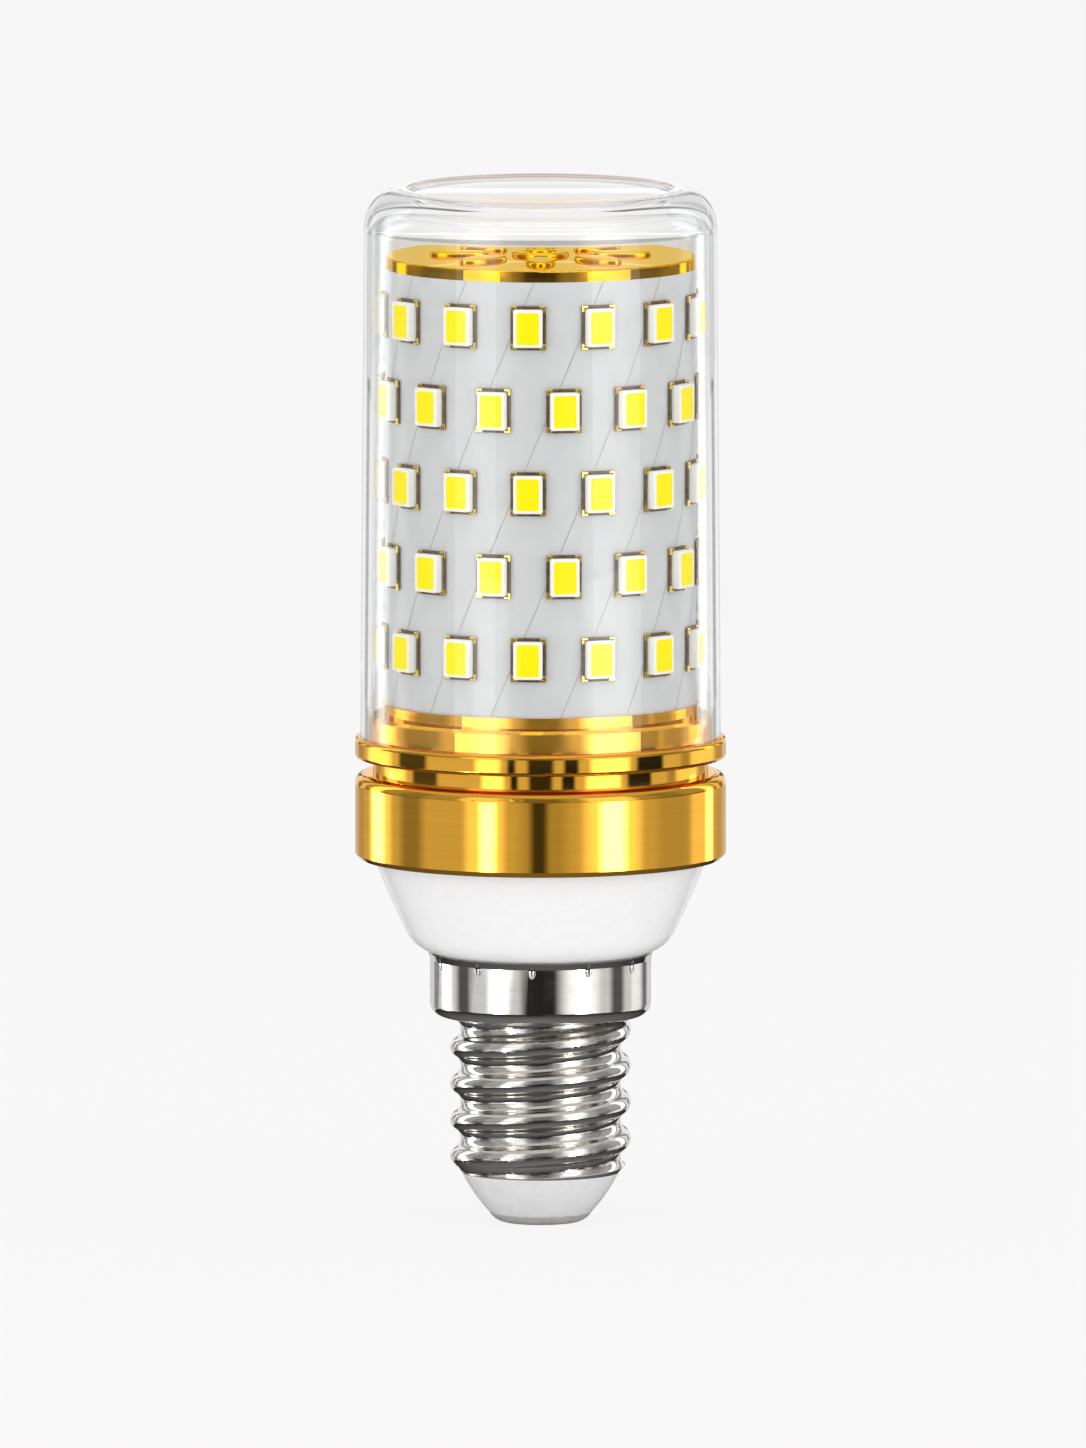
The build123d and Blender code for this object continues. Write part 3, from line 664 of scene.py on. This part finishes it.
def floor_material():
    """Pale floor: its own even colour, with a share of real light that keeps the bulb's shadow."""
    mat = bpy.data.materials.new("floor")
    shader = Shader(mat)
    glow = shader.add("ShaderNodeEmission", Color=BACKGROUND, Strength=1.0).outputs["Emission"]
    lit = shader.add("ShaderNodeBsdfDiffuse", Color=BACKGROUND).outputs["BSDF"]
    path = shader.light_path()
    seen = shader.maths("MAXIMUM", path["Is Camera Ray"], path["Is Transmission Ray"])
    shader.show(shader.mix(seen, lit, shader.mix(SHADOW_SHARE, glow, lit)))
    return mat


def make_floor():
    half = FLOOR_SIZE / 2
    corners = [(-half, -half, 0), (half, -half, 0), (half, half, 0), (-half, half, 0)]
    floor = mesh_object("floor", corners, [[0, 1, 2, 3]])
    floor.location.z = cad_box[0].z
    paint(floor, floor_material())
    floor.visible_glossy = False
    floor.visible_transmission = False


def make_world():
    """Backdrop straight on and through the cover, an even room for light, a graded one in mirrors."""
    world = bpy.data.worlds.new("studio")
    bpy.context.scene.world = world
    shader = Shader(world)
    backdrop = shader.add("ShaderNodeBackground", Color=BACKGROUND).outputs["Background"]
    room = shader.add("ShaderNodeBackground", Color=WHITE, Strength=ROOM_LEVEL).outputs["Background"]
    coords = shader.add("ShaderNodeTexCoord").outputs["Generated"]
    sine = shader.add("ShaderNodeSeparateXYZ", Vector=coords).outputs["Z"]
    rise = shader.add("ShaderNodeMapRange", Value=sine, From_Min=-1).outputs["Result"]
    levels = shader.add("ShaderNodeValToRGB", Fac=rise)
    stops = levels.color_ramp.elements
    while len(stops) < len(MIRRORED_ROOM):
        stops.new(1.0)
    for stop, (height, level) in zip(stops, MIRRORED_ROOM):
        stop.position = (height + 1) / 2
        stop.color = (level, level, level, 1)
    mirrored = shader.add("ShaderNodeBackground", Color=levels.outputs["Color"]).outputs["Background"]
    path = shader.light_path()
    around = shader.mix(path["Is Glossy Ray"], room, mirrored)
    seen = shader.maths("MAXIMUM", path["Is Camera Ray"], path["Is Transmission Ray"])
    shader.show(shader.mix(seen, around, backdrop), "World Output")


def softbox(name, azimuth, elevation, width, height, level):
    """Area lamp of an even brightness that faces the bulb's middle and doesn't show in mirrors."""
    lamp = bpy.data.lights.new(name, "AREA")
    lamp.shape = "RECTANGLE"
    lamp.size = width
    lamp.size_y = height
    lamp.energy = LAMP_POWER * level * width * height
    obj = link(bpy.data.objects.new(name, lamp))
    e = math.radians(elevation)
    out = Vector(round_bulb(math.cos(e), math.radians(azimuth), math.sin(e)))
    place = Matrix.Translation((cad_box[0] + cad_box[1]) / 2 + out * LAMP_DISTANCE)
    obj.matrix_world = place @ out.to_track_quat("Z", "Y").to_matrix().to_4x4()
    obj.visible_camera = False
    obj.visible_glossy = False


def panel_level(angle, level, panels):
    """Brightness at an angle from the front, of panels before a wall of an even level."""
    for middle, half, edge, panel in panels:
        share = min(1.0, max(0.0, 1 - (abs(angle - middle) - half) / edge))
        share = share * share * (3 - 2 * share)
        level += share * (panel - level)
    return level


def glow_material(name, mirrored_only):
    """Light at the level that the mesh's points carry, for all rays or only for mirrored ones."""
    mat = bpy.data.materials.new(name)
    shader = Shader(mat)
    carried = shader.add("ShaderNodeAttribute")
    carried.attribute_name = "level"
    glow = shader.add("ShaderNodeEmission", Color=WHITE, Strength=carried.outputs["Fac"])
    shown = glow.outputs["Emission"]
    if mirrored_only:
        path = shader.light_path()
        crossed = shader.maths("GREATER_THAN", path["Transmission Depth"], COVER_CROSSINGS)
        inside = shader.maths("MULTIPLY", path["Glossy Depth"], crossed)
        mirrored = shader.maths("ADD", inside, path["Is Glossy Ray"], clamp=True)
        air = shader.add("ShaderNodeBsdfTransparent").outputs["BSDF"]
        shown = shader.mix(mirrored, air, shown)
    shader.show(shown)
    return mat


def upright_strip(name, radius, span, angles, levels, mirrored_only):
    """Upright strip round the bulb between two heights, with a brightness at each angle."""
    verts, faces = [], []
    for k, angle in enumerate(angles):
        verts += [round_bulb(radius, math.radians(angle), z) for z in span]
        if k:
            faces.append([2 * k - 2, 2 * k, 2 * k + 1, 2 * k - 1])
    strip = mesh_object(name, verts, faces)
    carried = strip.data.attributes.new("level", "FLOAT", "POINT")
    carried.data.foreach_set("value", [level for level in levels for _ in span])
    paint(strip, glow_material(name, mirrored_only))
    strip.visible_camera = False
    strip.visible_diffuse = False
    strip.visible_shadow = False
    strip.visible_glossy = mirrored_only


def make_panels():
    angles = range(-180, 181)
    for name, (span, level, panels) in WRAPS.items():
        levels = [panel_level(a, level, panels) for a in angles]
        upright_strip(name, WRAP_RADIUS, span, angles, levels, True)
    for name, (angles, span, level) in STRIPS.items():
        upright_strip(name, STRIP_RADIUS, span, angles, [level] * len(angles), False)


def make_camera():
    data = bpy.data.cameras.new("camera")
    data.sensor_width = SENSOR
    data.lens = SENSOR * PHOTO_SCALE * CAMERA_DISTANCE / IMAGE_HEIGHT_PX
    data.clip_start, data.clip_end = CAMERA_CLIP
    camera = link(bpy.data.objects.new("camera", data))
    e = math.radians(CAMERA_ELEVATION)
    back = Vector((0, -math.cos(e), math.sin(e)))
    camera.location = CAMERA_TARGET + back * CAMERA_DISTANCE
    camera.rotation_euler = back.to_track_quat("Z", "Y").to_euler()
    bpy.context.scene.camera = camera


# Dark and light colour, range of roughness, scale of the grain, strength of its relief
gold = surface(
    "gold", GOLD_DARK, GOLD_LIGHT, GOLD_ROUGH, 0.4, 0.002, GOLD_TURNED,
    Metallic=1.0, Specular_Tint=GOLD_EDGE_TINT, Coat_Weight=0.5,
)
disc_gold = surface(
    "disc_gold", DISC_DARK, DISC_LIGHT, GOLD_ROUGH, 0.4, 0.01,
    Metallic=1.0, Specular_Tint=DISC_EDGE_TINT,
)
nickel = surface(
    "nickel", (0.72, 0.69, 0.65), (0.8, 0.775, 0.74), (0.03, 0.06), 0.5, 0.02, (1, 1, 3), Metallic=1.0
)
tinned = surface(
    "tinned_contact", (0.66, 0.65, 0.63), (0.78, 0.77, 0.75), (0.35, 0.5), 2.0, 0.15, Metallic=0.5
)
white_gloss = surface(
    "white_moulding", (0.79, 0.79, 0.795), (0.82, 0.82, 0.82), (0.2, 0.28), 1.2, 0.05,
    Coat_Weight=0.3, Coat_Roughness=0.08,
)
insulator_white = surface("insulator", (0.68, 0.68, 0.685), (0.72, 0.72, 0.72), (0.2, 0.28), 1.2, 0.05)
board_white = surface("board_mask", (0.58, 0.58, 0.585), (0.615, 0.615, 0.62), (0.3, 0.4), 0.8, 0.05)
line_grey = surface("trace_gap", (0.36, 0.33, 0.27), (0.5, 0.47, 0.4), (0.4, 0.5), 1.0, 0.05)
lead_gold = surface(
    "lead_plating", (0.75, 0.5, 0.1), (0.9, 0.68, 0.2), (0.15, 0.3), 4.0, 0.1, Metallic=1.0
)
# Dark brown painted shade for the frame's edges and base plate, standing in for the shade round the body
lead_painted_shade = surface("lead_painted_shade_edges", (0.07, 0.038, 0.008), (0.19, 0.11, 0.028), (0.3, 0.5), 3.0, 0.1)
led_white = surface("led_moulding", (0.86, 0.845, 0.78), (0.9, 0.885, 0.83), (0.4, 0.5), 4.0, 0.1)
# Phosphor with a faint painted yellow glow, though the bulb is not lit
phosphor_with_painted_glow = surface(
    "phosphor_with_painted_glow", (0.95, 0.72, 0.0), (0.97, 0.79, 0.0), (0.5, 0.6), 9.0, 0.25,
    Specular_IOR_Level=0.1, Emission_Color=(1.0, 0.78, 0.0, 1), Emission_Strength=0.1,
)
board_green = surface("driver_mask", (0.02, 0.13, 0.04), (0.03, 0.19, 0.06), (0.3, 0.42), 1.5, 0.1)
sleeve = surface("capacitor_sleeve", (0.012, 0.012, 0.014), (0.025, 0.025, 0.03), (0.25, 0.4), 1.5, 0.1)
ferrite = surface("ferrite", (0.02, 0.02, 0.02), (0.045, 0.044, 0.042), (0.55, 0.75), 6.0, 0.4)
copper = surface(
    "enamelled_copper", (0.42, 0.13, 0.035), (0.6, 0.22, 0.07), (0.2, 0.35), 2.0, 0.5, (1, 8, 1),
    Metallic=1.0,
)
film_case = surface("film_case", (0.42, 0.18, 0.01), (0.52, 0.24, 0.02), (0.25, 0.4), 1.2, 0.1)
resistor_coat = surface("resistor_coat", (0.05, 0.2, 0.32), (0.08, 0.27, 0.4), (0.3, 0.45), 2.5, 0.15)
chip_black = surface("moulding_compound", (0.01, 0.01, 0.011), (0.025, 0.025, 0.027), (0.5, 0.65), 8.0, 0.3)
wire_brown = surface("wire_brown", (0.1, 0.03, 0.012), (0.14, 0.045, 0.02), (0.4, 0.5), 3.0, 0.15)
wire_blue = surface("wire_blue", (0.01, 0.04, 0.2), (0.02, 0.06, 0.27), (0.4, 0.5), 3.0, 0.15)
wire_white = surface("wire_white", (0.6, 0.6, 0.58), (0.72, 0.72, 0.7), (0.4, 0.5), 3.0, 0.15)
clear = clear_plastic()

NODE_MATERIALS = {
    "centre_contact": tinned,
    "cap_insulator": insulator_white,
    "cap_shell": nickel,
    "lower_housing": white_gloss,
    "base_ring": gold,
    "led_board": board_white,
    "led_lead_frames": lead_gold,
    "led_bodies": led_white,
    "led_phosphors": phosphor_with_painted_glow,
    "top_disc": disc_gold,
    "clear_cover": clear,
    "driver_board": board_green,
    "smoothing_capacitor": sleeve,
    "choke_core": ferrite,
    "choke_winding": copper,
    "film_capacitor": film_case,
    "fuse_resistor": resistor_coat,
    "bridge_rectifier": chip_black,
    "driver_chip": chip_black,
    "chip_resistors": chip_black,
    "live_wire": wire_brown,
    "neutral_wire": wire_blue,
    "led_supply_wires": wire_white,
}
for node, mat in NODE_MATERIALS.items():
    paint(nodes[node], mat)

dress(at_each_led("led_moulded_bodies", [led_body_part()]), [led_white], "led_bodies")
dress(at_each_led("led_phosphor_fill", [phosphor_part()]), [phosphor_with_painted_glow], "led_phosphors")
dress(at_each_led("led_plated_frames", lead_parts()), [lead_gold, lead_painted_shade], "led_lead_frames")
dress(cover_shell(), [clear], "clear_cover")
dress(board_lines(), [line_grey])

make_floor()
make_world()
for name, box in SOFTBOXES.items():
    softbox(name, *box)
make_panels()
make_camera()

cycles = bpy.context.scene.cycles
cycles.max_bounces = MAX_BOUNCES
cycles.transmission_bounces = MAX_BOUNCES
cycles.glossy_bounces = GLOSSY_BOUNCES
bpy.context.scene.view_settings.view_transform = "Standard"
